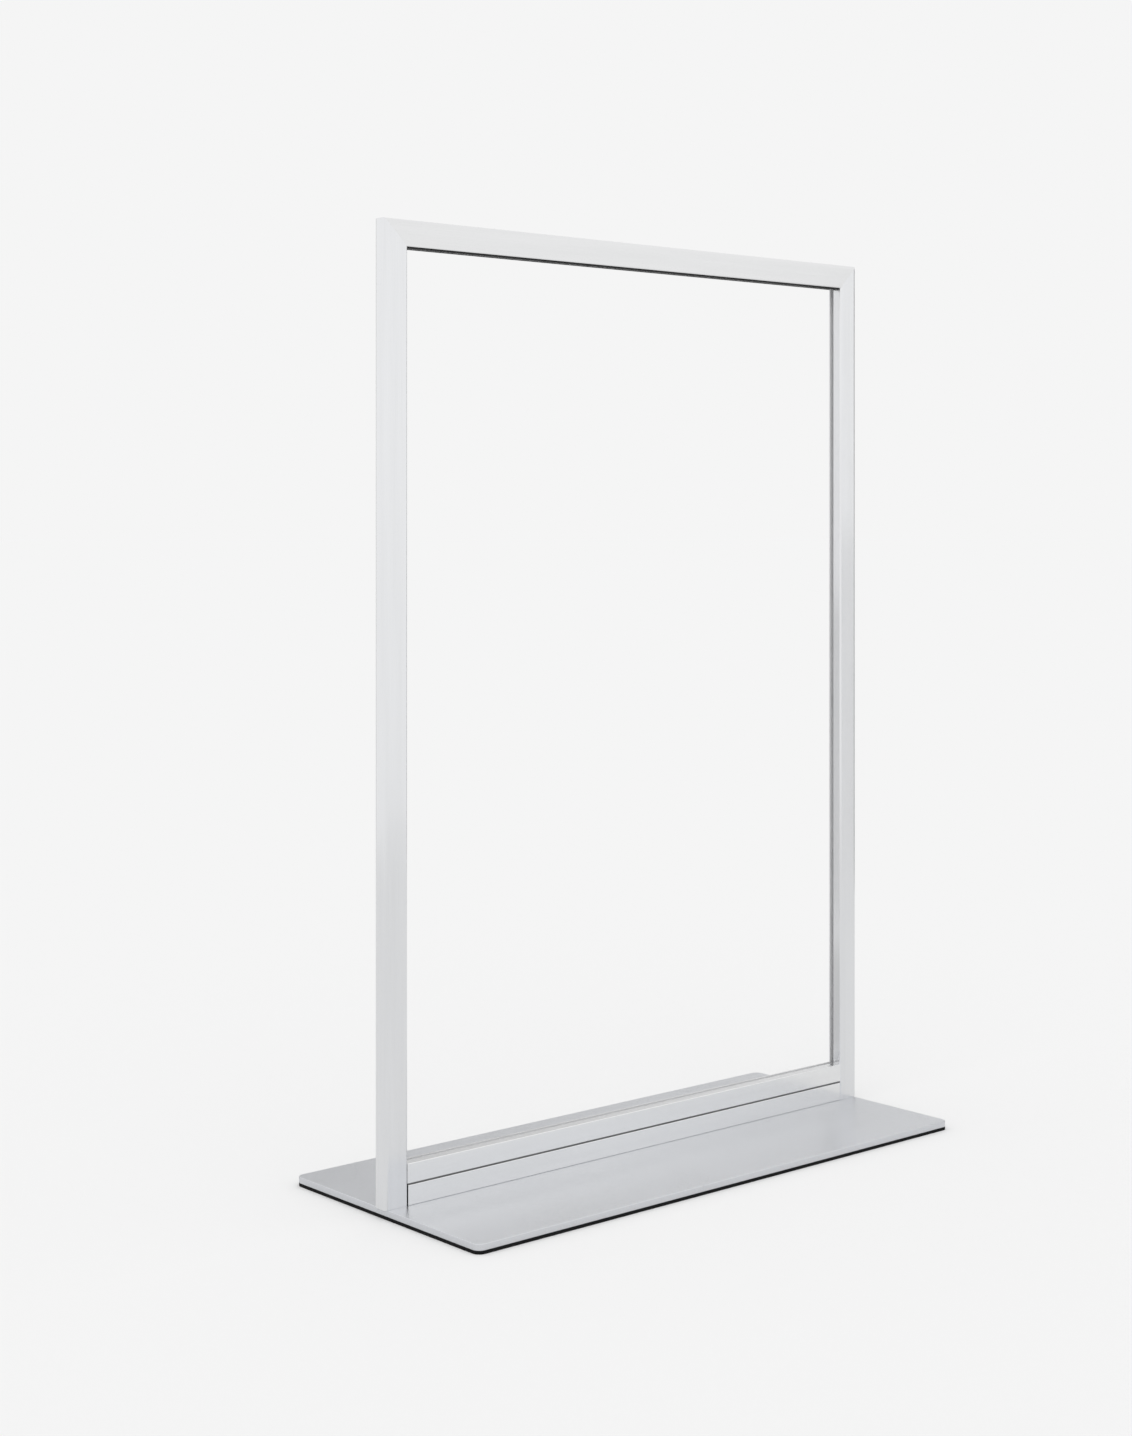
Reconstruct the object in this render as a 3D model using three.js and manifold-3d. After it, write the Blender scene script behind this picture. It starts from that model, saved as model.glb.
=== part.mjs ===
// Floor-standing poster display frame: an upright aluminium frame for one A1 panel on a flat base plate.
// Millimetres. X runs along the frame's width, the front faces -Y, +Z is up.
// The origin is the middle of the base's underside.
// The top rail lifts off on two corner keys, so that a panel can be lowered into the posts' grooves.
import * as THREE from "three";
import { mergeVertices } from "three/addons/utils/BufferGeometryUtils.js";
import Module from "manifold-3d";

const wasm = await Module();
wasm.setup();

// The panel that the frame is made for: a poster between two clear sheets
const panelWidth = 594;
const panelHeight = 841;
const panelThickness = 4;
const panelSlack = 0.8;
const sideRoom = 1;
const topRoom = 5;

// The frame's hollow section: an outer chamber, a cell at the front and, at the back, a groove for the panel
const faceWidth = 25;
const frameDepth = 17;
const wall = 2;
const grooveDepth = 10;
const grooveWidth = panelThickness + panelSlack;
const outerRadius = 4;
const innerRadius = 1.5;

// The two rails at the foot and the rubber seam between them
const lowerRailHeight = 18.5;
const seamThickness = 1.5;
const bottomRailHeight = 18;
const seatDepth = 9;
const endGap = 0.8;
const ribThickness = 1.6;
const ribHeight = 9;

// The base
const baseDepth = 275;
const baseInset = 3;
const plateThickness = 6;
const matThickness = 3;
const baseCornerRadius = 8;
const plateChamfer = 0.6;

// The corner keys, their sleeves and the strips under the top rail
const mitreGap = 0.3;
const slideClearance = 0.2;
const freeGap = 0.3;
const sleeveWall = 1.5;
const sleeveLength = 45;
const keyLegLength = 60;
const keyArmLength = 50;
const shoulderDrop = 2;
const stripThickness = 0.5;
const stripInset = 0.4;
const stripEndGap = 0.5;

// The connectors from the bottom rail into the posts' grooves
const connectorLength = 30;
const connectorPlug = 8;

// The fasteners: shank and head radii, key recesses and where the screws sit
const screwRadius = 2;
const screwHeadRadius = 4;
const screwHeadHeight = 2.3;
const screwRecess = { radius: 1.4, depth: 1.6 };
const smallScrewRadius = 1.5;
const smallHeadRadius = 3;
const pinHeadRadius = 2;
const pinHeadHeight = 2;
const grubRadius = 2;
const smallRecess = { radius: 1, depth: 1.2 };
const holeClearance = 0.15;
const ribClearance = 0.2;
const matHoleRadius = 5;
const footScrewInset = 2.5;
const footScrewLength = 16;
const blockScrewLevel = 13.5;
const blockScrewLength = 9;
const railScrewInset = 60;
const railScrewCount = 4;
const connectorScrewInset = 18;
const connectorScrewForward = 1.6;
const keyScrewInset = 14;
const tipRoom = 1.5;
const endRoom = 0.5;

// How far a cutting shape runs past the face that it cuts, and the radius of the rails' sharper edges
const over = 1;
const edgeRadius = 0.6;

// How many straight steps stand for a quarter turn in an outline, for a round bar and for a key recess
const arcSteps = 6;
const roundSides = 28;
const recessSides = 6;

// Dimensions that follow from the ones above
const half = frameDepth / 2;
const inner = half - wall;
const grooveFront = inner - grooveWidth;
const grooveMiddle = inner - grooveWidth / 2;
const cellBack = grooveFront - wall;
const grooveFloor = faceWidth - grooveDepth;
const webStart = grooveFloor - wall;
const floorLevel = matThickness + plateThickness;
const frameWidth = panelWidth + 2 * sideRoom + 2 * grooveFloor;
const openingHalf = frameWidth / 2 - faceWidth;
const lowerHalf = openingHalf - endGap;
const left = -frameWidth / 2;
const chamberStart = left + wall;
const chamberEnd = left + webStart;
const grooveStart = left + grooveFloor;
const lowerRailTop = floorLevel + lowerRailHeight;
const bottomRailBase = lowerRailTop + seamThickness;
const panelBottom = bottomRailBase + bottomRailHeight - seatDepth;
const frameTop = panelBottom + panelHeight + topRoom + grooveFloor;
const baseWidth = frameWidth - 2 * baseInset;

const aluminium = { color: 0xc6c9cd, metalness: 0.85, roughness: 0.38 };
const silverPlate = { color: 0xb3b8bf, metalness: 0.6, roughness: 0.45 };
const blackRubber = { color: 0x111112, metalness: 0, roughness: 0.85 };
const whiteNylon = { color: 0xe4e2da, metalness: 0, roughness: 0.6 };
const zincSteel = { color: 0x9a9da1, metalness: 0.9, roughness: 0.35 };

const model = new THREE.Group();
model.name = "poster_display_stand";

// Turns a closed three.js geometry into a solid for the boolean cuts
function solid(geometry) {
  const bare = geometry.index ? geometry.toNonIndexed() : geometry.clone();
  bare.deleteAttribute("normal");
  bare.deleteAttribute("uv");
  const merged = mergeVertices(bare, 1e-4);
  const mesh = new wasm.Mesh({
    numProp: 3,
    vertProperties: new Float32Array(merged.attributes.position.array),
    triVerts: new Uint32Array(merged.index.array),
  });
  return new wasm.Manifold(mesh);
}

// Adds a finished solid to the model as a named piece
function piece(name, shape, finish) {
  const mesh = shape.getMesh();
  const geometry = new THREE.BufferGeometry();
  const count = mesh.vertProperties.length / mesh.numProp;
  const points = new Float32Array(count * 3);
  for (let i = 0; i < count; i += 1) {
    for (let k = 0; k < 3; k += 1) {
      points[i * 3 + k] = mesh.vertProperties[i * mesh.numProp + k];
    }
  }
  geometry.setAttribute("position", new THREE.BufferAttribute(points, 3));
  geometry.setIndex(new THREE.BufferAttribute(new Uint32Array(mesh.triVerts), 1));
  geometry.computeVertexNormals();
  const part = new THREE.Mesh(geometry, new THREE.MeshStandardMaterial(finish));
  part.name = name;
  model.add(part);
}

// The same shape on the other side of the frame
function mirrored(shape) {
  return shape.mirror([1, 0, 0]);
}

// Adds a left-hand piece and its mirror image for the right
function pair(name, shape, finish) {
  piece(`left_${name}`, shape, finish);
  piece(`right_${name}`, mirrored(shape), finish);
}

function block(x0, x1, y0, y1, z0, z1) {
  const geometry = new THREE.BoxGeometry(x1 - x0, y1 - y0, z1 - z0);
  geometry.translate((x0 + x1) / 2, (y0 + y1) / 2, (z0 + z1) / 2);
  return solid(geometry);
}

// A round bar or cone that starts at a point and runs along +X, +Y or +Z
function bar(axis, [x, y, z], length, startRadius, endRadius = startRadius, sides = roundSides) {
  const geometry = new THREE.CylinderGeometry(endRadius, startRadius, length, sides);
  geometry.translate(0, length / 2, 0);
  if (axis === "x") {
    geometry.rotateZ(-Math.PI / 2);
  }
  if (axis === "z") {
    geometry.rotateX(Math.PI / 2);
  }
  geometry.translate(x, y, z);
  return solid(geometry);
}

// A six-sided key recess that opens at a screw's lower end
function recess([x, y, z], size) {
  return bar("z", [x, y, z - over], size.depth + over, size.radius, size.radius, recessSides);
}

// Points of a closed outline from corners of the form [u, v, radius]
function outline(corners) {
  const points = [];
  const n = corners.length;
  for (let i = 0; i < n; i += 1) {
    const [u, v, radius] = corners[i];
    if (!radius) {
      points.push(new THREE.Vector2(u, v));
      continue;
    }
    const before = corners[(i + n - 1) % n];
    const after = corners[(i + 1) % n];
    const from = new THREE.Vector2(before[0] - u, before[1] - v).setLength(radius);
    const to = new THREE.Vector2(after[0] - u, after[1] - v).setLength(radius);
    for (let k = 0; k <= arcSteps; k += 1) {
      const turn = (k / arcSteps) * (Math.PI / 2);
      const point = new THREE.Vector2(u, v);
      point.addScaledVector(from, 1 - Math.sin(turn));
      point.addScaledVector(to, 1 - Math.cos(turn));
      points.push(point);
    }
  }
  return points;
}

function rectangle(u0, u1, v0, v1, radius = 0) {
  return [[u0, v0, radius], [u1, v0, radius], [u1, v1, radius], [u0, v1, radius]];
}

function sweep(corners, from, to, place) {
  const shape = new THREE.Shape(outline(corners));
  const geometry = new THREE.ExtrudeGeometry(shape, { depth: to - from, bevelEnabled: false });
  geometry.translate(0, 0, from);
  geometry.applyMatrix4(place);
  return solid(geometry);
}

// Extrudes a section with its hollows; the three vectors say where its u, v and length directions go
function extrusion({ corners, hollows = [] }, length, u, v, w, start) {
  const place = new THREE.Matrix4().makeBasis(
    new THREE.Vector3(...u),
    new THREE.Vector3(...v),
    new THREE.Vector3(...w),
  );
  place.setPosition(...start);
  let body = sweep(corners, 0, length, place);
  for (const hollow of hollows) {
    body = body.subtract(sweep(hollow, -over, length + over, place));
  }
  return body;
}

// A rail along X, centred, whose section's first direction points up from the given level
function railExtrusion(shape, length, level) {
  return extrusion(shape, length, [0, 0, 1], [0, 1, 0], [-1, 0, 0], [length / 2, 0, level]);
}

// Base plate with countersunk holes from below, and the rubber mat under it
const footX = chamberEnd - footScrewInset;
const railPositions = [];
const firstScrew = railScrewInset - lowerHalf;
for (let i = 0; i < railScrewCount; i += 1) {
  railPositions.push(firstScrew * (1 - (2 * i) / (railScrewCount - 1)));
}
const ribInner = screwRadius + ribClearance;
const railScrewY = ribInner - inner;
const screwPlaces = [[footX, 0], [-footX, 0], ...railPositions.map((x) => [x, railScrewY])];
const bore = screwRadius + holeClearance;

function baseOutline(inset) {
  const w = baseWidth / 2 - inset;
  const d = baseDepth / 2 - inset;
  return new THREE.Shape(outline(rectangle(-w, w, -d, d, baseCornerRadius)));
}

// The cut for a countersunk screw through the plate
function plateHole([x, y]) {
  const flare = screwHeadRadius + holeClearance;
  return bar("z", [x, y, matThickness], screwHeadHeight, flare, bore)
    .add(bar("z", [x, y, matThickness - over], over, flare))
    .add(bar("z", [x, y, matThickness], plateThickness + over, bore));
}

const plateGeometry = new THREE.ExtrudeGeometry(baseOutline(plateChamfer), {
  depth: plateThickness - 2 * plateChamfer,
  bevelEnabled: true,
  bevelSegments: 1,
  bevelThickness: plateChamfer,
  bevelSize: plateChamfer,
});
plateGeometry.translate(0, 0, matThickness + plateChamfer);
const matGeometry = new THREE.ExtrudeGeometry(baseOutline(0), { depth: matThickness, bevelEnabled: false });
let basePlate = solid(plateGeometry);
let baseMat = solid(matGeometry);
for (const [x, y] of screwPlaces) {
  basePlate = basePlate.subtract(plateHole([x, y]));
  baseMat = baseMat.subtract(bar("z", [x, y, -over], matThickness + 2 * over, matHoleRadius));
}
piece("base_plate", basePlate, silverPlate);
piece("base_mat", baseMat, blackRubber);

// A countersunk screw that points up from the plate's underside to its tip
function plateScrew([x, y], tip) {
  return bar("z", [x, y, matThickness], screwHeadHeight, screwHeadRadius, screwRadius)
    .add(bar("z", [x, y, matThickness + over], tip - matThickness - over, screwRadius))
    .subtract(recess([x, y, matThickness], screwRecess));
}

// The posts' and the top rail's section, from their outer side to the face round the opening
const frameSection = {
  corners: [
    [0, -half, outerRadius],
    [faceWidth, -half, innerRadius],
    [faceWidth, grooveFront],
    [grooveFloor, grooveFront],
    [grooveFloor, inner],
    [faceWidth, inner],
    [faceWidth, half, innerRadius],
    [0, half, outerRadius],
  ],
  hollows: [
    rectangle(wall, webStart, -inner, inner),
    rectangle(grooveFloor, faceWidth - wall, -inner, cellBack),
  ],
};

// A cutter above (side 1) or below (side -1) the left mitre line, which falls inwards from the outer corner
function mitreCutter(side) {
  const size = 4 * faceWidth;
  const cutter = new THREE.BoxGeometry(size, 2 * frameDepth, size);
  cutter.translate(0, 0, side * size / 2);
  cutter.rotateY(Math.PI / 4);
  cutter.translate(left, 0, frameTop - side * mitreGap / Math.SQRT2);
  return solid(cutter);
}

// Where the small screws cross the posts: into the foot blocks, and into the connectors from the back
const smallBore = smallScrewRadius + holeClearance;
const smallFlare = smallHeadRadius + holeClearance;
const blockScrewZ = floorLevel + blockScrewLevel;
const blockScrewTip = [grooveStart - blockScrewLength, grooveMiddle, blockScrewZ];
const blockScrewHead = [grooveStart, grooveMiddle, blockScrewZ];
const blockHole = bar("x", blockScrewTip, blockScrewLength + over, smallBore);
const tongueBase = bottomRailBase + wall;
const tongueTop = panelBottom - wall;
const plugX = -openingHalf - connectorPlug / 2;
const plugZ = (tongueBase + tongueTop) / 2;
const plugScrewTip = grooveFront + endRoom;
const plugHole = bar("y", [plugX, grooveFront - over, plugZ], grooveWidth + wall + 2 * over, smallBore);
const plugFlare = bar("y", [plugX, inner, plugZ], wall, smallBore, smallFlare)
  .add(bar("y", [plugX, half, plugZ], over, smallFlare));
const plugHoleInWall = bar("y", [plugX, inner - over, plugZ], wall + over, smallBore).add(plugFlare);

// Posts: full height, mitred at the top, with the groove facing inwards
const postLength = frameTop - floorLevel;
const post = extrusion(frameSection, postLength, [1, 0, 0], [0, 1, 0], [0, 0, 1], [left, 0, floorLevel])
  .subtract(mitreCutter(1))
  .subtract(blockHole)
  .subtract(plugHoleInWall);
pair("post", post, aluminium);

// Foot blocks in the bottoms of the posts' chambers, pulled down by a screw and held by one from the groove
const footTip = matThickness + footScrewLength;
const footHole = bar("z", [footX, 0, floorLevel - over], footTip - floorLevel + over + endRoom, bore);
const footBlock = block(chamberStart, chamberEnd, -inner, inner, floorLevel, bottomRailBase)
  .subtract(footHole)
  .subtract(blockHole);
pair("foot_block", footBlock, zincSteel);
pair("foot_screw", plateScrew([footX, 0], footTip), zincSteel);
const { radius: socketRadius, depth: socketDepth } = smallRecess;
const socketStart = [grooveStart + pinHeadHeight - socketDepth, grooveMiddle, blockScrewZ];
const blockScrew = bar("x", blockScrewTip, blockScrewLength, smallScrewRadius)
  .add(bar("x", blockScrewHead, pinHeadHeight, pinHeadRadius))
  .subtract(bar("x", socketStart, socketDepth + over, socketRadius, socketRadius, recessSides));
pair("block_screw", blockScrew, zincSteel);

// Bottom rail between the posts: the panel stands on the seat of its groove, before a thin rear lip
const seat = bottomRailHeight - seatDepth;
const bottomSection = {
  corners: [
    [0, -half, edgeRadius],
    [bottomRailHeight, -half, edgeRadius],
    [bottomRailHeight, grooveFront],
    [seat, grooveFront],
    [seat, inner],
    [bottomRailHeight, inner],
    [bottomRailHeight, half, edgeRadius],
    [0, half, edgeRadius],
  ],
  hollows: [
    rectangle(wall, seat - wall, -inner, inner),
    rectangle(seat, bottomRailHeight - wall, -inner, cellBack),
  ],
};
const connectorX = -openingHalf + connectorScrewInset;
const connectorY = -connectorScrewForward;
const connectorHole = bar("z", [connectorX, connectorY, bottomRailBase - over], wall + 2 * over, smallBore)
  .add(bar("z", [connectorX, connectorY, bottomRailBase - over], over, smallFlare))
  .add(bar("z", [connectorX, connectorY, bottomRailBase], wall, smallFlare, smallBore));
const bottomRail = railExtrusion(bottomSection, 2 * openingHalf, bottomRailBase)
  .subtract(connectorHole)
  .subtract(mirrored(connectorHole));
piece("bottom_rail", bottomRail, aluminium);

// Connectors: a tongue in the bottom rail and a plug in the post's groove, with a screw through each
const plugEnd = -openingHalf - connectorPlug;
const tongueHole = [connectorX, connectorY, tongueBase - over];
const connector = block(-openingHalf, -openingHalf + connectorLength, -inner, inner, tongueBase, tongueTop)
  .add(block(plugEnd, -openingHalf + over, grooveFront, inner, tongueBase, tongueTop))
  .subtract(bar("z", tongueHole, tongueTop - tongueBase + 2 * over, smallBore))
  .subtract(plugHole);
pair("rail_connector", connector, zincSteel);
const connectorHead = [connectorX, connectorY, bottomRailBase];
const shankStart = [connectorX, connectorY, bottomRailBase + endRoom];
const connectorScrew = bar("z", connectorHead, wall, smallHeadRadius, smallScrewRadius)
  .add(bar("z", shankStart, tongueTop - bottomRailBase - 2 * endRoom, smallScrewRadius))
  .subtract(recess(connectorHead, smallRecess));
pair("connector_screw", connectorScrew, zincSteel);
const plugSocket = [plugX, half - socketDepth, plugZ];
const plugScrew = bar("y", [plugX, inner, plugZ], wall, smallScrewRadius, smallHeadRadius)
  .add(bar("y", [plugX, plugScrewTip, plugZ], half - endRoom - plugScrewTip, smallScrewRadius))
  .subtract(bar("y", plugSocket, socketDepth + over, socketRadius, socketRadius, recessSides));
pair("plug_screw", plugScrew, zincSteel);

// Lower rail on the base: a tube whose front wall and inner rib hold the rail screws between them
const ribStart = railScrewY + ribInner;
const ribEnd = ribStart + ribThickness;
const ribTop = wall + ribHeight;
const ceiling = lowerRailHeight - wall;
const lowerHollow = [
  [wall, -inner],
  [wall, ribStart],
  [ribTop, ribStart],
  [ribTop, ribEnd],
  [wall, ribEnd],
  [wall, inner],
  [ceiling, inner],
  [ceiling, -inner],
];
const lowerOutline = rectangle(0, lowerRailHeight, -half, half, edgeRadius);
const lowerSection = { corners: lowerOutline, hollows: [lowerHollow] };
let lowerRail = railExtrusion(lowerSection, 2 * lowerHalf, floorLevel);
for (const x of railPositions) {
  lowerRail = lowerRail.subtract(bar("z", [x, railScrewY, floorLevel - over], wall + 2 * over, bore));
}
piece("lower_rail", lowerRail, aluminium);
railPositions.forEach((x, i) => {
  piece(`rail_screw_${i + 1}`, plateScrew([x, railScrewY], floorLevel + ribTop - tipRoom), zincSteel);
});

// Rubber seam between the lower rail and the bottom rail
const seamHalf = half - edgeRadius;
const seam = block(-lowerHalf, lowerHalf, -seamHalf, seamHalf, lowerRailTop, bottomRailBase);
piece("seam_strip", seam, blackRubber);

// Top rail: mitred at both ends, with the groove facing down
const keyScrewX = -openingHalf + keyScrewInset;
const armUnder = frameTop - webStart;
const keyHoleStart = [keyScrewX, grooveMiddle, armUnder - wall - over];
const keyScrewHole = bar("z", keyHoleStart, wall + 2 * over, grubRadius + holeClearance);
const topRail = extrusion(frameSection, frameWidth, [0, 0, -1], [0, 1, 0], [1, 0, 0], [left, 0, frameTop])
  .subtract(mitreCutter(-1))
  .subtract(mirrored(mitreCutter(-1)))
  .subtract(keyScrewHole)
  .subtract(mirrored(keyScrewHole));
piece("top_rail", topRail, aluminium);

// Corner keys: an arm fixed in the top rail's chamber, and a leg that slides in the post's sleeve
// while its shoulder rests on the sleeve's top
const armTop = frameTop - wall;
const shoulder = armUnder - shoulderDrop;
const loose = inner - freeGap;
const legInset = sleeveWall + slideClearance;
const legHalf = inner - legInset;
const cornerKey = block(chamberEnd + freeGap, chamberEnd + keyArmLength, -inner, inner, armUnder, armTop)
  .add(block(chamberStart + freeGap, chamberEnd + over, -loose, loose, armUnder + freeGap, armTop - freeGap))
  .add(block(chamberStart + freeGap, chamberEnd - freeGap, -loose, loose, shoulder, armUnder + over))
  .add(block(chamberStart + legInset, chamberEnd - legInset, -legHalf, legHalf, shoulder - keyLegLength,
    shoulder + over));
pair("corner_key", cornerKey, zincSteel);
const keyScrewStart = [keyScrewX, grooveMiddle, armUnder - 2 * wall];
const keyScrew = bar("z", keyScrewStart, 2 * wall, grubRadius)
  .subtract(recess(keyScrewStart, smallRecess));
pair("key_screw", keyScrew, zincSteel);

const sleeveBottom = shoulder - sleeveLength;
const sleeveInner = inner - sleeveWall;
const sleeve = block(chamberStart, chamberEnd, -inner, inner, sleeveBottom, shoulder)
  .subtract(block(chamberStart + sleeveWall, chamberEnd - sleeveWall, -sleeveInner, sleeveInner,
    sleeveBottom - over, shoulder + over));
pair("key_sleeve", sleeve, whiteNylon);

// Black self-adhesive strips on the top rail's underside, in front of its groove and behind it
const stripHalf = openingHalf - stripEndGap;
const underside = frameTop - faceWidth;
const stripUnder = underside - stripThickness;
const frontStrip = block(-stripHalf, stripHalf, stripInset - half, grooveFront, stripUnder, underside);
const backStrip = block(-stripHalf, stripHalf, inner, half - stripInset, stripUnder, underside);
piece("top_strip_front", frontStrip, blackRubber);
piece("top_strip_back", backStrip, blackRubber);

export default model;
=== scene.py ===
"""Poster display stand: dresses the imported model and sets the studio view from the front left.

Lengths of the stand are in millimetres up to the point where a mesh is made, and those of the studio
in metres. X runs along the frame's width, the front faces -Y and +Z is up. The origin is the middle
of the base's underside.
"""

import math

import bmesh
import bpy
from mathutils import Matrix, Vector
from mathutils.geometry import tessellate_polygon


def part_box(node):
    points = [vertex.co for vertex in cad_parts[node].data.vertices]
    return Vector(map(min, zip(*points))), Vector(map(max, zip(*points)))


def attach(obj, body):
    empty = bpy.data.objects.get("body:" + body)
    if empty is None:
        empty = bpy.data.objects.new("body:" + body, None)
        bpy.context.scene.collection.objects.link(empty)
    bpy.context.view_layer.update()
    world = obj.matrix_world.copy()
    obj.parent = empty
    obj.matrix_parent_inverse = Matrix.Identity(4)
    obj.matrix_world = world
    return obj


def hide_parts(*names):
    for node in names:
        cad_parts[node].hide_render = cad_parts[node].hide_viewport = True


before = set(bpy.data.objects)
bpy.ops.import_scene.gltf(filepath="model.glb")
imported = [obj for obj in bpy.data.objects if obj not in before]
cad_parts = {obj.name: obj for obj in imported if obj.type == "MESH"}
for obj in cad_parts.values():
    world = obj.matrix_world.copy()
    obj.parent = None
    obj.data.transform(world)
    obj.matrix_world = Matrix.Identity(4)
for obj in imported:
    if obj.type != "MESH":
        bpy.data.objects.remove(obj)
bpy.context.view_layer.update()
scene = bpy.context.scene

MM = 0.001
X_AXIS, Y_AXIS, Z_AXIS = 0, 1, 2

# The hollow section of the posts and the top rail, with its groove for the panel near the back
WALL = 2
FACE_WIDTH = 25
GROOVE_DEPTH = 10
GROOVE_WIDTH = 4.8
OUTER_RADIUS = 4
INNER_RADIUS = 1.5

# The bottom rail, the lower rail, the seam between them and the base
SEAT_DEPTH = 9
RAIL_EDGE_RADIUS = 0.6
SEAM_EDGE_RADIUS = 0.3
BASE_CORNER_RADIUS = 8
PLATE_EDGE_RADIUS = 0.7
MAT_EDGE_RADIUS = 0.4
MAT_HOLE_RADIUS = 5

# The lower rail's inner rib, from the screws' middle line, and the strips under the top rail
RIB_INNER = 2.2
RIB_OUTER = 3.8
RIB_HEIGHT = 9
STRIP_EDGE_RADIUS = 0.15

# The countersunk screws from below: head with a thin rim, shank, tip and hexagon recess
RAIL_SCREW_COUNT = 4
SCREW_RADIUS = 2
SCREW_HEAD_RADIUS = 4
SCREW_HEAD_HEIGHT = 2.3
HEAD_RIM = 0.15
TIP_RADIUS = 1.2
TIP_LENGTH = 1.2
RECESS_RADIUS = 1.4
RECESS_DEPTH = 1.6
RECESS_FLARE = 0.2

# The small screws, the grub screws and the room round every screw in its hole
SMALL_SCREW_RADIUS = 1.5
SMALL_HEAD_RADIUS = 3
GRUB_RADIUS = 2
HOLE_CLEARANCE = 0.15

# How far a cutting shape runs past a bar's outer face, and past a wall into its hollow
CUT_OUTSIDE = 1
CUT_INSIDE = 0.5

# Small breaks of edges that the solids leave sharp, and the hairline left at each mitre
EDGE = 0.25
END_BREAK = 0.12
SOLID_BREAK = 0.15
MITRE_HAIRLINE = 0.005

# How many straight steps stand for a quarter turn or a circle, and from which angle an edge is sharp
ARC_STEPS = 8
SMALL_ARC_STEPS = 3
BASE_CORNER_STEPS = 16
BASE_EDGE_STEPS = 4
ROUND_SIDES = 40
RECESS_SIDES = 6
DISC_SIDES = 96
SHARP_ANGLE = math.radians(35)


def box(node):
    """Lowest and highest corner of a CAD node, in millimetres."""
    low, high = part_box(node)
    return low / MM, high / MM


def centre_of(node):
    low, high = box(node)
    return (low + high) / 2


plate_low, plate_high = box("base_plate")
mat_low, mat_high = box("base_mat")
bottom_low, bottom_high = box("bottom_rail")
lower_low, lower_high = box("lower_rail")
post_low, post_high = box("left_post")
FRAME_TOP = box("top_rail")[1].z
HALF_WIDTH = -post_low.x
HALF_DEPTH = post_high.y

# Places across the depth of the bars, from the middle, and the groove's floor from a bar's outer side
INNER = HALF_DEPTH - WALL
GROOVE_FRONT = INNER - GROOVE_WIDTH
CELL_BACK = GROOVE_FRONT - WALL
GROOVE_FLOOR = FACE_WIDTH - GROOVE_DEPTH


# Outlines

def quarter_turn(steps):
    """Shares of a corner's two sides, (1 - sine, 1 - cosine), at even steps through a right angle."""
    turns = [k / steps * math.pi / 2 for k in range(steps + 1)]
    return [(1 - math.sin(turn), 1 - math.cos(turn)) for turn in turns]


def outline(corners, steps=ARC_STEPS):
    """Points of a closed outline from corners (u, v, radius), each corner a right angle."""
    points = []
    for i, (u, v, radius) in enumerate(corners):
        corner = Vector((u, v))
        if not radius:
            points.append(corner)
            continue
        before = (Vector(corners[i - 1][:2]) - corner).normalized() * radius
        after = (Vector(corners[(i + 1) % len(corners)][:2]) - corner).normalized() * radius
        for back, ahead in quarter_turn(steps if radius > 1 else SMALL_ARC_STEPS):
            points.append(corner + before * back + after * ahead)
    return points


def inset(corners, amount):
    """The same corners moved inwards; the corners run counter-clockwise."""
    moved = []
    for i, (u, v, radius) in enumerate(corners):
        corner = Vector((u, v))
        into = (corner - Vector(corners[i - 1][:2])).normalized()
        out = (Vector(corners[(i + 1) % len(corners)][:2]) - corner).normalized()
        convex = into.x * out.y - into.y * out.x > 0
        shift = (Vector((-into.y, into.x)) + Vector((-out.y, out.x))) * amount
        changed = radius - amount if convex else radius + amount
        moved.append((u + shift.x, v + shift.y, changed if radius else 0))
    return moved


def rectangle(u0, u1, v0, v1, radius=0):
    return [(u0, v0, radius), (u1, v0, radius), (u1, v1, radius), (u0, v1, radius)]


def grooved(width, floor, outer_radius, inner_radius):
    """The section of a bar with the panel's groove.

    u runs from the bar's outer side to the face round the opening, and v from front to back. The
    groove's floor lies at a given u.
    """
    return [
        (0, -HALF_DEPTH, outer_radius), (width, -HALF_DEPTH, inner_radius),
        (width, GROOVE_FRONT, EDGE), (floor, GROOVE_FRONT, EDGE),
        (floor, INNER, EDGE), (width, INNER, EDGE),
        (width, HALF_DEPTH, inner_radius), (0, HALF_DEPTH, outer_radius),
    ]


def cells(width, floor):
    """The hollows of such a bar: a chamber on its outer side and a cell in front of the groove."""
    return [
        rectangle(WALL, floor - WALL, -INNER, INNER, EDGE),
        rectangle(floor, width - WALL, -INNER, CELL_BACK, EDGE),
    ]


def circle(x, y, radius, z, sides=ROUND_SIDES):
    turns = [2 * math.pi * k / sides for k in range(sides)]
    return [Vector((x + radius * math.cos(a), y + radius * math.sin(a), z)) for a in turns]


def rings_round(node, levels, sides=ROUND_SIDES):
    """Rings round the middle line of an upright screw's node, from (radius, z) pairs."""
    at = centre_of(node)
    return [circle(at.x, at.y, radius, z, sides) for radius, z in levels]


# Meshes

def shade_smooth(mesh):
    mesh.shade_smooth()
    mesh.set_sharp_from_angle(angle=SHARP_ANGLE)


def make_mesh(name, verts, faces):
    """A mesh in metres from points in millimetres, with its faces turned outwards."""
    mesh = bpy.data.meshes.new(name)
    mesh.from_pydata([v * MM for v in verts], [], faces)
    bm = bmesh.new()
    bm.from_mesh(mesh)
    bmesh.ops.recalc_face_normals(bm, faces=bm.faces)
    bm.to_mesh(mesh)
    bm.free()
    shade_smooth(mesh)
    return mesh


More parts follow.
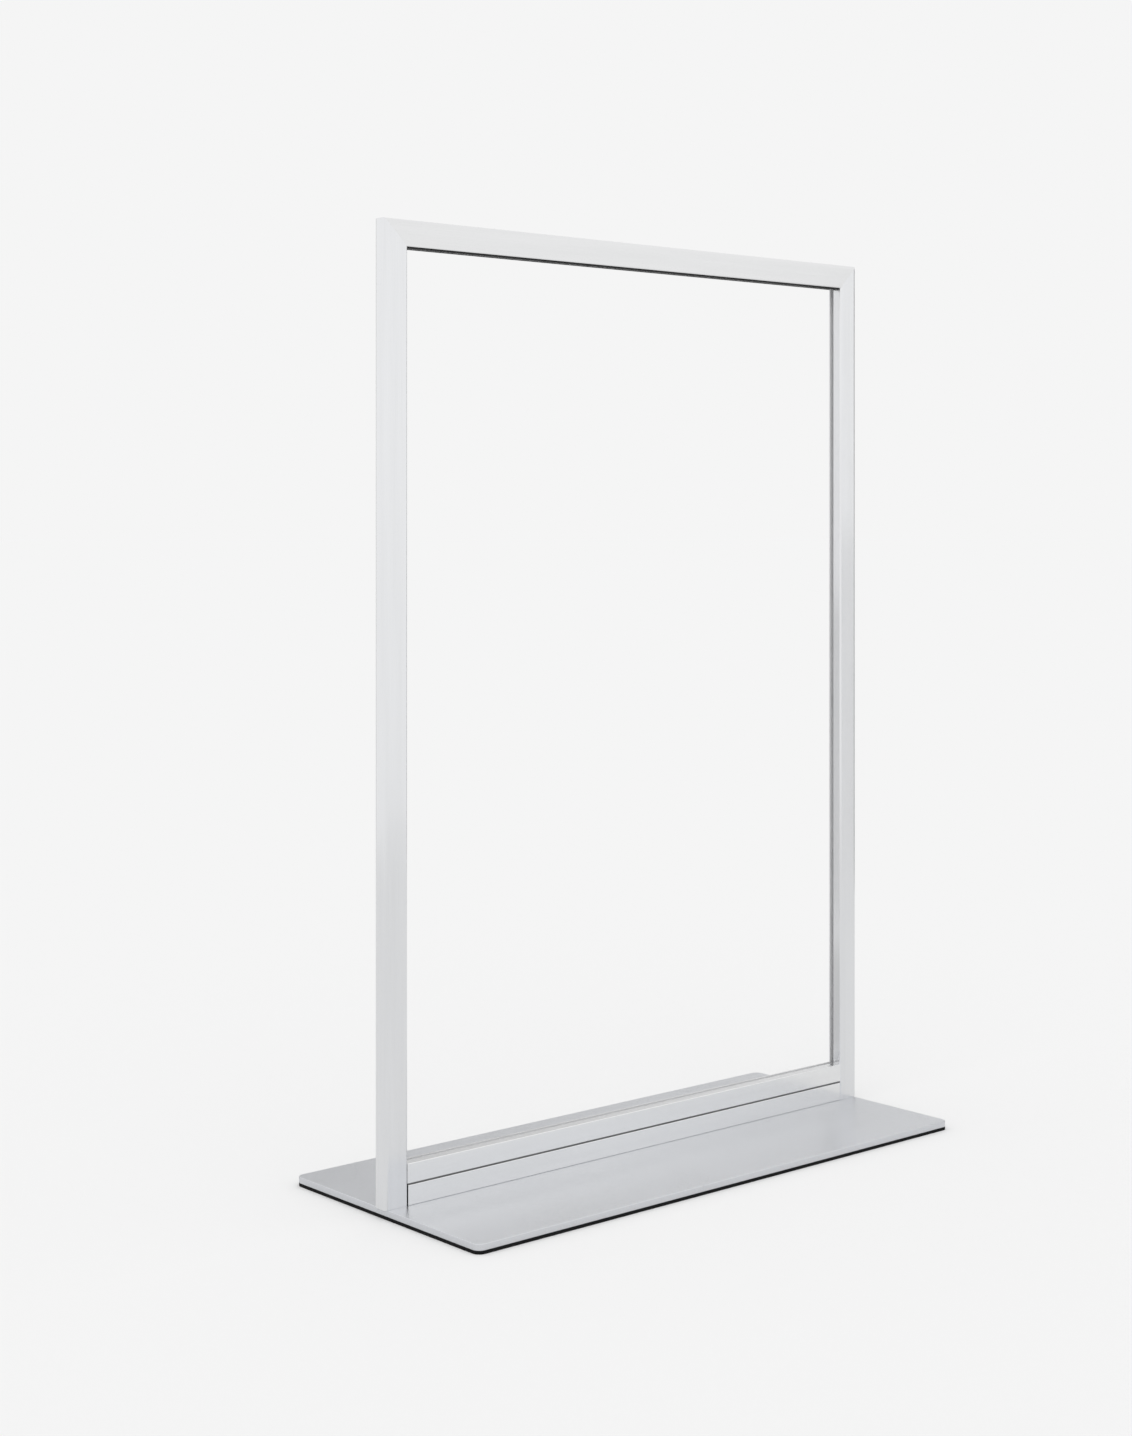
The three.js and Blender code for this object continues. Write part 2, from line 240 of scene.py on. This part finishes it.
def shell(name, outer, holes=(), pockets=()):
    """A closed body from rings of points.

    The outer skin and the holes run from the first end to the last one. A pocket starts at the first
    end and is closed inside the body.
    """
    verts, faces = [], []

    def skin(rings):
        start, count = len(verts), len(rings[0])
        for ring in rings:
            verts.extend(ring)
        for r in range(len(rings) - 1):
            for k in range(count):
                a = start + r * count + k
                b = start + r * count + (k + 1) % count
                faces.append((a, b, b + count, a + count))
        ends = start + (len(rings) - 1) * count
        return list(range(start, start + count)), list(range(ends, ends + count))

    def cap(loops):
        flat = [i for loop in loops for i in loop]
        for triangle in tessellate_polygon([[verts[i] for i in loop] for loop in loops]):
            faces.append(tuple(flat[i] for i in triangle))

    first, last = zip(*[skin(rings) for rings in (outer, *holes)])
    first = list(first)
    for rings in pockets:
        mouth, floor = skin(rings)
        first.append(mouth)
        cap([floor])
    cap(first)
    cap(last)
    return make_mesh(name, verts, faces)


def swept(name, corners, hollows, place, ends, breaks=(END_BREAK, END_BREAK)):
    """A section swept along a bar, with broken edges at its ends.

    place turns (u, v, t) into a point, and ends gives the first and last t for a given u.
    """
    def ring(shape, side, back):
        step = -back if side else back
        return [place(p.x, p.y, ends(p.x)[side] + step) for p in outline(shape)]

    def rings(shape, sign):
        result = [ring(shape, 0, breaks[0]), ring(shape, 1, breaks[1])]
        if breaks[0]:
            result.insert(0, ring(inset(shape, sign * breaks[0]), 0, 0))
        if breaks[1]:
            result.append(ring(inset(shape, sign * breaks[1]), 1, 0))
        return result

    return shell(name, rings(corners, 1), [rings(hollow, -1) for hollow in hollows])


def bore(node, axis, level, profile):
    """A cutting shape round a screw's middle line, from (distance, radius) pairs.

    The distances count along the axis, from a given level on it.
    """
    at = centre_of(node)
    at[axis] = level
    rings = []
    for distance, radius in profile:
        ring = []
        for p in circle(0, 0, radius, distance):
            turned = (Vector((p.z, p.x, p.y)), Vector((p.x, p.z, p.y)), p)[axis]
            ring.append(turned + at)
        rings.append(ring)
    return shell("cutter", rings)


def drilled(mesh, cutters):
    """The mesh with the cutting shapes taken out of it."""
    for cutter in cutters:
        body = bpy.data.objects.new("body", mesh)
        tool = bpy.data.objects.new("tool", cutter)
        scene.collection.objects.link(body)
        scene.collection.objects.link(tool)
        cut = body.modifiers.new("cut", "BOOLEAN")
        cut.operation = "DIFFERENCE"
        cut.solver = "EXACT"
        cut.object = tool
        solid = body.evaluated_get(bpy.context.evaluated_depsgraph_get())
        result = bpy.data.meshes.new_from_object(solid)
        result.name = mesh.name
        bpy.data.objects.remove(body)
        bpy.data.objects.remove(tool)
        bpy.data.meshes.remove(cutter)
        mesh = result
    shade_smooth(mesh)
    return mesh


def add(name, mesh, body, material, slot, *nodes):
    """Shows a piece on its body in place of the CAD nodes that it stands for."""
    obj = bpy.data.objects.new(name, mesh)
    scene.collection.objects.link(obj)
    obj.data.materials.append(material)
    normals = obj.modifiers.new("even_shading", "WEIGHTED_NORMAL")
    normals.keep_sharp = True
    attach(obj, body)
    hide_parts(*nodes)
    return obj


def unbrushed_groove(obj, material):
    """Gives the faces inside a bar's groove their own finish."""
    obj.data.materials.append(material)
    for face in obj.data.polygons:
        depth = face.center.y / MM
        if GROOVE_FRONT - EDGE / 2 < depth < INNER + EDGE / 2:
            face.material_index = 1


# Materials

def start_material(name, color, metallic, roughness):
    material = bpy.data.materials.new(name)
    material.use_nodes = True
    shader = material.node_tree.nodes["Principled BSDF"]
    shader.inputs["Base Color"].default_value = (*color, 1)
    shader.inputs["Metallic"].default_value = metallic
    shader.inputs["Roughness"].default_value = roughness
    return material, shader


def noise(tree, scale, detail=3, stretch=(1, 1, 1), roughness=0.5):
    """Noise in the object's own coordinates; scale is in cycles per metre."""
    coords = tree.nodes.new("ShaderNodeTexCoord")
    mapping = tree.nodes.new("ShaderNodeMapping")
    mapping.inputs["Scale"].default_value = stretch
    texture = tree.nodes.new("ShaderNodeTexNoise")
    texture.inputs["Scale"].default_value = scale
    texture.inputs["Detail"].default_value = detail
    texture.inputs["Roughness"].default_value = roughness
    tree.links.new(coords.outputs["Object"], mapping.inputs["Vector"])
    tree.links.new(mapping.outputs["Vector"], texture.inputs["Vector"])
    return texture.outputs["Fac"]


def drawn_out(axis, factor):
    """The stretch that draws noise out into lines along one axis."""
    return tuple(factor if k == axis else 1 for k in range(3))


def spread(tree, value, low, high, start=0.3, end=0.7):
    """Maps a value that runs from start to end to a range; noise mostly stays between 0.3 and 0.7."""
    mapped = tree.nodes.new("ShaderNodeMapRange")
    mapped.inputs["From Min"].default_value = start
    mapped.inputs["From Max"].default_value = end
    mapped.inputs["To Min"].default_value = low
    mapped.inputs["To Max"].default_value = high
    tree.links.new(value, mapped.inputs["Value"])
    return mapped.outputs["Result"]


def sum_of(tree, first, second):
    added = tree.nodes.new("ShaderNodeMath")
    added.operation = "ADD"
    tree.links.new(first, added.inputs[0])
    tree.links.new(second, added.inputs[1])
    return added.outputs["Value"]


def tint(tree, factor, dark, light):
    """A colour between two, by a factor from 0 to 1."""
    mix = tree.nodes.new("ShaderNodeMix")
    mix.data_type = "RGBA"
    mix.inputs["A"].default_value = (*dark, 1)
    mix.inputs["B"].default_value = (*light, 1)
    tree.links.new(factor, mix.inputs["Factor"])
    return mix.outputs["Result"]


def vary_color(tree, shader, tone, color, contrast):
    """Lets the colour run from a little darker to a little lighter, by a tone from 0 to 1."""
    dark = tuple(c * (1 - contrast) for c in color)
    light = tuple(c * (1 + contrast) for c in color)
    tree.links.new(tint(tree, tone, dark, light), shader.inputs["Base Color"])


def bump(tree, shader, height, strength):
    """A relief of a tenth of a millimetre at full strength."""
    node = tree.nodes.new("ShaderNodeBump")
    node.inputs["Strength"].default_value = strength
    node.inputs["Distance"].default_value = 0.1 * MM
    tree.links.new(height, node.inputs["Height"])
    tree.links.new(node.outputs["Normal"], shader.inputs["Normal"])


def brushed_metal(name, color, roughness, along):
    """Satin anodised aluminium: fine lines along one axis, faint wider streaks and soft smudges."""
    material, shader = start_material(name, color, 1, roughness)
    tree = material.node_tree
    lines = noise(tree, scale=2600, detail=2, stretch=drawn_out(along, 0.006), roughness=0.6)
    streaks = noise(tree, scale=160, detail=2, stretch=drawn_out(along, 0.03))
    smudges = noise(tree, scale=9, detail=4)
    pattern = sum_of(tree, spread(tree, lines, 0, 0.5), spread(tree, streaks, 0, 0.5))
    vary_color(tree, shader, spread(tree, pattern, 0, 1, start=0, end=1), color, contrast=0.03)
    fine = spread(tree, lines, roughness - 0.05, roughness + 0.03)
    tree.links.new(sum_of(tree, fine, spread(tree, smudges, -0.02, 0.03)), shader.inputs["Roughness"])
    bump(tree, shader, lines, strength=0.08)
    return material


def satin_paint(name, color, roughness):
    """Silver powder coating: fine metallic grain, a faint orange peel and soft smudges."""
    material, shader = start_material(name, color, 0.85, roughness)
    tree = material.node_tree
    grain = noise(tree, scale=3600, detail=2, roughness=0.7)
    clouds = noise(tree, scale=7, detail=4)
    peel = noise(tree, scale=420, detail=2)
    tone = sum_of(tree, spread(tree, grain, 0, 0.7), spread(tree, clouds, 0, 0.3))
    vary_color(tree, shader, tone, color, contrast=0.05)
    fine = spread(tree, grain, roughness - 0.04, roughness + 0.04)
    tree.links.new(sum_of(tree, fine, spread(tree, clouds, -0.03, 0.03)), shader.inputs["Roughness"])
    relief = sum_of(tree, spread(tree, grain, 0, 0.3), spread(tree, peel, 0, 1))
    bump(tree, shader, relief, strength=0.05)
    return material


def grained(name, color, roughness, scale, depth, contrast, metallic=0, gloss=0.5):
    """An even finish with a fine grain, such as rubber, nylon or zinc plating."""
    material, shader = start_material(name, color, metallic, roughness)
    shader.inputs["Specular IOR Level"].default_value = gloss
    tree = material.node_tree
    grain = noise(tree, scale, roughness=0.6)
    patches = noise(tree, scale=45)
    tone = sum_of(tree, spread(tree, grain, 0, 0.5), spread(tree, patches, 0, 0.5))
    vary_color(tree, shader, tone, color, contrast)
    rough = spread(tree, tone, roughness - 0.07, roughness + 0.07, start=0.1, end=0.9)
    tree.links.new(rough, shader.inputs["Roughness"])
    bump(tree, shader, grain, strength=depth)
    return material


# The bars are one metal, in lighter and darker copies: painted light and shade for how differently the
# light falls on the uprights, the top rail and the low rails, whose copy is painted lighter.
upright_metal = brushed_metal("anodised_upright", (0.87, 0.878, 0.893), roughness=0.16, along=Z_AXIS)
rail_metal = brushed_metal("anodised_rail", (0.855, 0.859, 0.864), roughness=0.2, along=X_AXIS)
low_metal_painted_lighter = brushed_metal("anodised_low_rail_painted_lighter", (0.935, 0.94, 0.945), roughness=0.2, along=X_AXIS)
groove_metal = grained(
    "anodised_groove", (0.77, 0.773, 0.778),
    roughness=0.6, scale=1800, depth=0.1, contrast=0.03, metallic=0.3,
)
silver = satin_paint("silver_coating", (0.715, 0.728, 0.755), roughness=0.3)
rubber = grained(
    "black_rubber", (0.006, 0.006, 0.0065),
    roughness=0.7, scale=1300, depth=0.5, contrast=0.3, gloss=0.15,
)
worn_rubber = grained(
    "worn_rubber", (0.14, 0.14, 0.142),
    roughness=0.6, scale=1300, depth=0.5, contrast=0.3,
)
nylon = grained(
    "white_nylon", (0.78, 0.77, 0.73),
    roughness=0.5, scale=900, depth=0.15, contrast=0.03,
)
zinc = grained(
    "zinc_steel", (0.6, 0.62, 0.65),
    roughness=0.3, scale=700, depth=0.1, contrast=0.08, metallic=1,
)


# Base plate and mat, with the holes for the screws from below

rail_screws = [f"rail_screw_{i + 1}" for i in range(RAIL_SCREW_COUNT)]
screws = [*rail_screws, "left_foot_screw", "right_foot_screw"]
screw_bore = SCREW_RADIUS + HOLE_CLEARANCE
screw_flare = SCREW_HEAD_RADIUS + HOLE_CLEARANCE


def rounded_slab(low, high, edge):
    """Rings of a slab with rounded corners and rounded upper and lower edges."""
    profile = [(edge * back, low.z + edge * up) for back, up in quarter_turn(BASE_EDGE_STEPS)]
    profile += [(amount, low.z + high.z - z) for amount, z in reversed(profile)]
    corners = rectangle(low.x, high.x, low.y, high.y, BASE_CORNER_RADIUS)
    return [
        [Vector((p.x, p.y, z)) for p in outline(inset(corners, amount), BASE_CORNER_STEPS)]
        for amount, z in profile
    ]


countersink = [
    (screw_flare, plate_low.z),
    (screw_bore, plate_low.z + SCREW_HEAD_HEIGHT),
    (screw_bore, plate_high.z),
]
plate_holes = [rings_round(node, countersink) for node in screws]
plate = shell("plate", rounded_slab(plate_low, plate_high, PLATE_EDGE_RADIUS), plate_holes)
add("plate", plate, "stand", silver, "base_silver", "base_plate")

clear_hole = [(MAT_HOLE_RADIUS, mat_low.z), (MAT_HOLE_RADIUS, mat_high.z)]
mat_holes = [rings_round(node, clear_hole) for node in screws]
mat = shell("mat", rounded_slab(mat_low, mat_high, MAT_EDGE_RADIUS), mat_holes)
add("mat", mat, "stand", rubber, "black_rubber", "base_mat")


def screw(node):
    """A countersunk screw with a hexagon recess and a pointed tip, head down."""
    low, high = box(node)
    outer = rings_round(node, [
        (SCREW_HEAD_RADIUS - HEAD_RIM, low.z),
        (SCREW_HEAD_RADIUS, low.z + HEAD_RIM),
        (SCREW_RADIUS, low.z + SCREW_HEAD_HEIGHT),
        (SCREW_RADIUS, high.z - TIP_LENGTH),
        (TIP_RADIUS, high.z),
    ])
    recess = rings_round(node, [
        (RECESS_RADIUS + RECESS_FLARE, low.z),
        (RECESS_RADIUS, low.z + RECESS_FLARE),
        (RECESS_RADIUS, low.z + RECESS_DEPTH),
    ], RECESS_SIDES)
    return shell(node + "_detail", outer, pockets=[recess])


for node in screws:
    add(node + "_detail", screw(node), "stand", zinc, "zinc_steel", node)


# Posts and top rail, mitred at the upper corners

frame_section = grooved(FACE_WIDTH, GROOVE_FLOOR, OUTER_RADIUS, INNER_RADIUS)
frame_cells = cells(FACE_WIDTH, GROOVE_FLOOR)
mitre = MITRE_HAIRLINE * math.sqrt(2)
web_middle = GROOVE_FLOOR - WALL / 2
small_bore = SMALL_SCREW_RADIUS + HOLE_CLEARANCE
small_flare = SMALL_HEAD_RADIUS + HOLE_CLEARANCE
grub_bore = GRUB_RADIUS + HOLE_CLEARANCE


def post_ends(u):
    """Heights of a post's foot and of its mitred top, at a distance from the frame's outer side."""
    return post_low.z, FRAME_TOP - u - mitre


def top_ends(u):
    """Places along X of the top rail's mitred ends, at a distance below the frame's top."""
    return u + mitre - HALF_WIDTH, HALF_WIDTH - u - mitre


def post(name, side):
    """A post with the hole for its foot block's screw, and the one from the back for its connector's."""
    body = swept(
        "post_" + name, frame_section, frame_cells,
        lambda u, v, t: Vector((side * (HALF_WIDTH - u), v, t)), post_ends, (END_BREAK, 0),
    )
    back_wall = [
        (INNER - CUT_INSIDE, small_bore), (INNER, small_bore),
        (HALF_DEPTH, small_flare), (HALF_DEPTH + CUT_OUTSIDE, small_flare),
    ]
    web = [(-WALL, small_bore), (WALL, small_bore)]
    return drilled(body, [
        bore(name + "_plug_screw", Y_AXIS, 0, back_wall),
        bore(name + "_block_screw", X_AXIS, side * (HALF_WIDTH - web_middle), web),
    ])


for name, side in (("left", -1), ("right", 1)):
    node = name + "_post"
    upright = add(node + "_detail", post(name, side), "stand", upright_metal, "frame_aluminium", node)
    unbrushed_groove(upright, groove_metal)

top = swept(
    "rail_top", frame_section, frame_cells,
    lambda u, v, t: Vector((t, v, FRAME_TOP - u)), top_ends, (0, 0),
)
top_web = [(-WALL, grub_bore), (WALL, grub_bore)]
top = drilled(top, [
    bore(node, Z_AXIS, FRAME_TOP - web_middle, top_web) for node in ("left_key_screw", "right_key_screw")
])
top_bar = add("rail_top", top, "top", rail_metal, "frame_aluminium", "top_rail")
unbrushed_groove(top_bar, groove_metal)


# Bottom rail, lower rail and the seam between them

def rail(name, corners, hollows, node):
    """A bar along X in the place of a node, its section's u pointing up from the node's underside."""
    low, high = box(node)

    def place(u, v, t):
        return Vector((t, v, low.z + u))

    return swept(name, corners, hollows, place, lambda u: (low.x, high.x))


bottom_height = bottom_high.z - bottom_low.z
seat = bottom_height - SEAT_DEPTH
bottom_section = grooved(bottom_height, seat, RAIL_EDGE_RADIUS, RAIL_EDGE_RADIUS)
bottom = rail("rail_bottom", bottom_section, cells(bottom_height, seat), "bottom_rail")
bottom_wall = [
    (-CUT_OUTSIDE, small_flare), (0, small_flare), (WALL, small_bore), (WALL + CUT_INSIDE, small_bore),
]
bottom = drilled(bottom, [
    bore(node, Z_AXIS, bottom_low.z, bottom_wall)
    for node in ("left_connector_screw", "right_connector_screw")
])
# The bottom rail takes the metal's copy that is painted lighter, as painted light
bottom_bar = add("rail_bottom", bottom, "stand", low_metal_painted_lighter, "frame_aluminium", "bottom_rail")
unbrushed_groove(bottom_bar, groove_metal)

lower_height = lower_high.z - lower_low.z
rib_top, ceiling = WALL + RIB_HEIGHT, lower_height - WALL
rib_start = centre_of("rail_screw_1").y + RIB_INNER
rib_end = centre_of("rail_screw_1").y + RIB_OUTER
lower_hollow = [
    (WALL, -INNER, EDGE), (ceiling, -INNER, EDGE), (ceiling, INNER, EDGE), (WALL, INNER, EDGE),
    (WALL, rib_end, EDGE), (rib_top, rib_end, EDGE), (rib_top, rib_start, EDGE), (WALL, rib_start, EDGE),
]
lower_section = rectangle(0, lower_height, -HALF_DEPTH, HALF_DEPTH, RAIL_EDGE_RADIUS)
lower = rail("rail_lower", lower_section, [lower_hollow], "lower_rail")
lower_wall = [(-CUT_OUTSIDE, screw_bore), (WALL + CUT_INSIDE, screw_bore)]
lower = drilled(lower, [bore(node, Z_AXIS, lower_low.z, lower_wall) for node in rail_screws])
# The lower rail takes the metal's copy that is painted lighter, as painted light
add("rail_lower", lower, "stand", low_metal_painted_lighter, "frame_aluminium", "lower_rail")


# The rubber seam, and the black strips on the top rail's underside before and behind its groove, whose
# black is painted shade for that underside

def strip(name, node, edge):
    """A solid strip with rounded edges in the place of a node."""
    low, high = box(node)
    return rail(name, rectangle(0, high.z - low.z, low.y, high.y, edge), [], node)


seam = strip("seam", "seam_strip", SEAM_EDGE_RADIUS)
add("seam", seam, "stand", worn_rubber, "black_rubber", "seam_strip")
# The strips are black rubber as painted shade under the top rail
for name in ("strip_back", "strip_front"):
    underside_shade_strip = strip(name, "top_" + name, STRIP_EDGE_RADIUS)
    add(name, underside_shade_strip, "top", rubber, "black_rubber", "top_" + name)


# The pieces inside the profiles keep their solids, with broken edges and their own finish

inside = {
    "foot_block": zinc, "block_screw": zinc, "rail_connector": zinc, "connector_screw": zinc,
    "plug_screw": zinc, "corner_key": zinc, "key_screw": zinc, "key_sleeve": nylon,
}
for kind, material in inside.items():
    for side in ("left_", "right_"):
        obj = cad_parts[side + kind]
        obj.data.materials.clear()
        obj.data.materials.append(material)
        edges = obj.modifiers.new("broken_edges", "BEVEL")
        edges.width = SOLID_BREAK * MM
        edges.segments = 2
        edges.limit_method = "ANGLE"
        edges.harden_normals = True


# The studio, in metres: floor, backdrop and cards

BACKDROP = 0.913
FLOOR_RADIUS = 60
SUN_STRENGTH = 0.5
SUN_HEIGHT = math.radians(60)
SUN_SPREAD = math.radians(50)
SUN_SIDE = Vector((-0.5, -0.6, 0)).normalized()

scene.view_settings.view_transform = "Standard"
world = bpy.data.worlds.new("studio")
world.use_nodes = True
world.node_tree.nodes["Background"].inputs["Color"].default_value = (BACKDROP, BACKDROP, BACKDROP, 1)
world.node_tree.nodes["Background"].inputs["Strength"].default_value = 1
scene.world = world


def matt_material(name, tone):
    """A grey without any gloss."""
    material, shader = start_material(name, (tone, tone, tone), 0, 1)
    shader.inputs["Specular IOR Level"].default_value = 0
    return material, shader


def disc(name, radius, tone):
    """A round level surface of one tone."""
    mesh = bpy.data.meshes.new(name)
    bm = bmesh.new()
    bmesh.ops.create_circle(bm, cap_ends=True, radius=radius, segments=DISC_SIDES)
    bm.to_mesh(mesh)
    bm.free()
    obj = bpy.data.objects.new(name, mesh)
    scene.collection.objects.link(obj)
    obj.data.materials.append(matt_material(name, tone)[0])
    return obj


def only_reflected(obj):
    """Hides a card from the camera, and keeps it out of the light and the shadows."""
    obj.visible_camera = False
    obj.visible_diffuse = False
    obj.visible_shadow = False


def card(name, start, end, bottom, top, tone, end_tone=None):
    """An upright studio card that shows only in reflections.

    It stands on the line from start to end, two places (x, y), between the heights bottom and top.
    Its tone may change along X from the one at its start to another at its end.
    """
    mesh = bpy.data.meshes.new(name)
    corners = [(*start, bottom), (*end, bottom), (*end, top), (*start, top)]
    mesh.from_pydata(corners, [], [(0, 1, 2, 3)])
    obj = bpy.data.objects.new(name, mesh)
    scene.collection.objects.link(obj)
    material, shader = matt_material(name, tone)
    if end_tone:
        tree = material.node_tree
        coords = tree.nodes.new("ShaderNodeTexCoord")
        along = tree.nodes.new("ShaderNodeSeparateXYZ")
        tree.links.new(coords.outputs["Object"], along.inputs["Vector"])
        factor = spread(tree, along.outputs["X"], 0, 1, start=start[0], end=end[0])
        tree.links.new(tint(tree, factor, (tone,) * 3, (end_tone,) * 3), shader.inputs["Base Color"])
    obj.data.materials.append(material)
    only_reflected(obj)


def floor_card(name, radius, tone, place):
    """A round card lying on the floor, which shows only in reflections."""
    obj = disc(name, radius, tone)
    obj.location = place
    only_reflected(obj)


# In full light the floor is as bright as the backdrop
disc("floor", FLOOR_RADIUS, BACKDROP / (BACKDROP + SUN_STRENGTH * math.sin(SUN_HEIGHT) / math.pi))

# Beside the stand, for the rounded edges and the outer sides of the posts
card("dark_card", start=(1.75, -1.05), end=(1.75, -0.2), bottom=0, top=1.1, tone=0.3)
card("side_card", start=(1.75, 0.15), end=(1.75, 0.9), bottom=0, top=1.1, tone=0.3)

# For the lower half of the right post's front
card("front_card", start=(1.75, -1.1), end=(1.45, -1.5), bottom=0, top=0.6, tone=0.83)

# Behind the stand, for the base and the upper faces of the rails
card("rear_card", start=(1.2, 2.6), end=(3.4, 1.4), bottom=0, top=1.6, tone=0.52, end_tone=0.88)
card("back_card", start=(-0.3, 2.9), end=(1.2, 2.6), bottom=0, top=1.6, tone=0.52)

# For the right post's inner side, above and below
card("left_card", start=(-0.6, 0.6), end=(-0.6, 2.6), bottom=0.5, top=1.6, tone=0.9)
card("left_low_card", start=(-0.6, 0.6), end=(-0.6, 2.6), bottom=0, top=0.5, tone=0.71)
floor_card("back_floor", radius=0.33, tone=0.57, place=(-0.12, 0.43, 0.0005))

# On the floor and darker than it, for the lower part of every upright face
floor_card("far_floor", radius=30, tone=0.84, place=(0, 0, 0.0001))
floor_card("near_floor", radius=2.5, tone=0.725, place=(0, 0, 0.0003))


# Light: a wide soft sun from the front left, which isn't seen in reflections

light = bpy.data.lights.new("soft_sun", "SUN")
light.energy = SUN_STRENGTH
light.angle = SUN_SPREAD
sun = bpy.data.objects.new("soft_sun", light)
sun.visible_glossy = False
towards = SUN_SIDE * math.cos(SUN_HEIGHT) + Vector((0, 0, math.sin(SUN_HEIGHT)))
sun.rotation_euler = towards.to_track_quat("Z", "Y").to_euler()
scene.collection.objects.link(sun)


# Camera: level, at the front left, in the place that makes the stand's edges lie as in the photograph

CAMERA_PLACE = (-1.5372, -1.6684, 0.6308)
CAMERA_TURN = math.radians(40.906)
CAMERA_LENS = 57.62
CAMERA_SENSOR = 36
CAMERA_SHIFT = -0.1403
CAMERA_NEAR = 0.01
CAMERA_FAR = 200

camera_data = bpy.data.cameras.new("camera")
camera_data.sensor_width = CAMERA_SENSOR
camera_data.lens = CAMERA_LENS
camera_data.shift_y = CAMERA_SHIFT
camera_data.clip_start = CAMERA_NEAR
camera_data.clip_end = CAMERA_FAR
camera = bpy.data.objects.new("camera", camera_data)
camera.location = CAMERA_PLACE
camera.rotation_euler = (math.pi / 2, 0, -CAMERA_TURN)
scene.collection.objects.link(camera)
scene.camera = camera
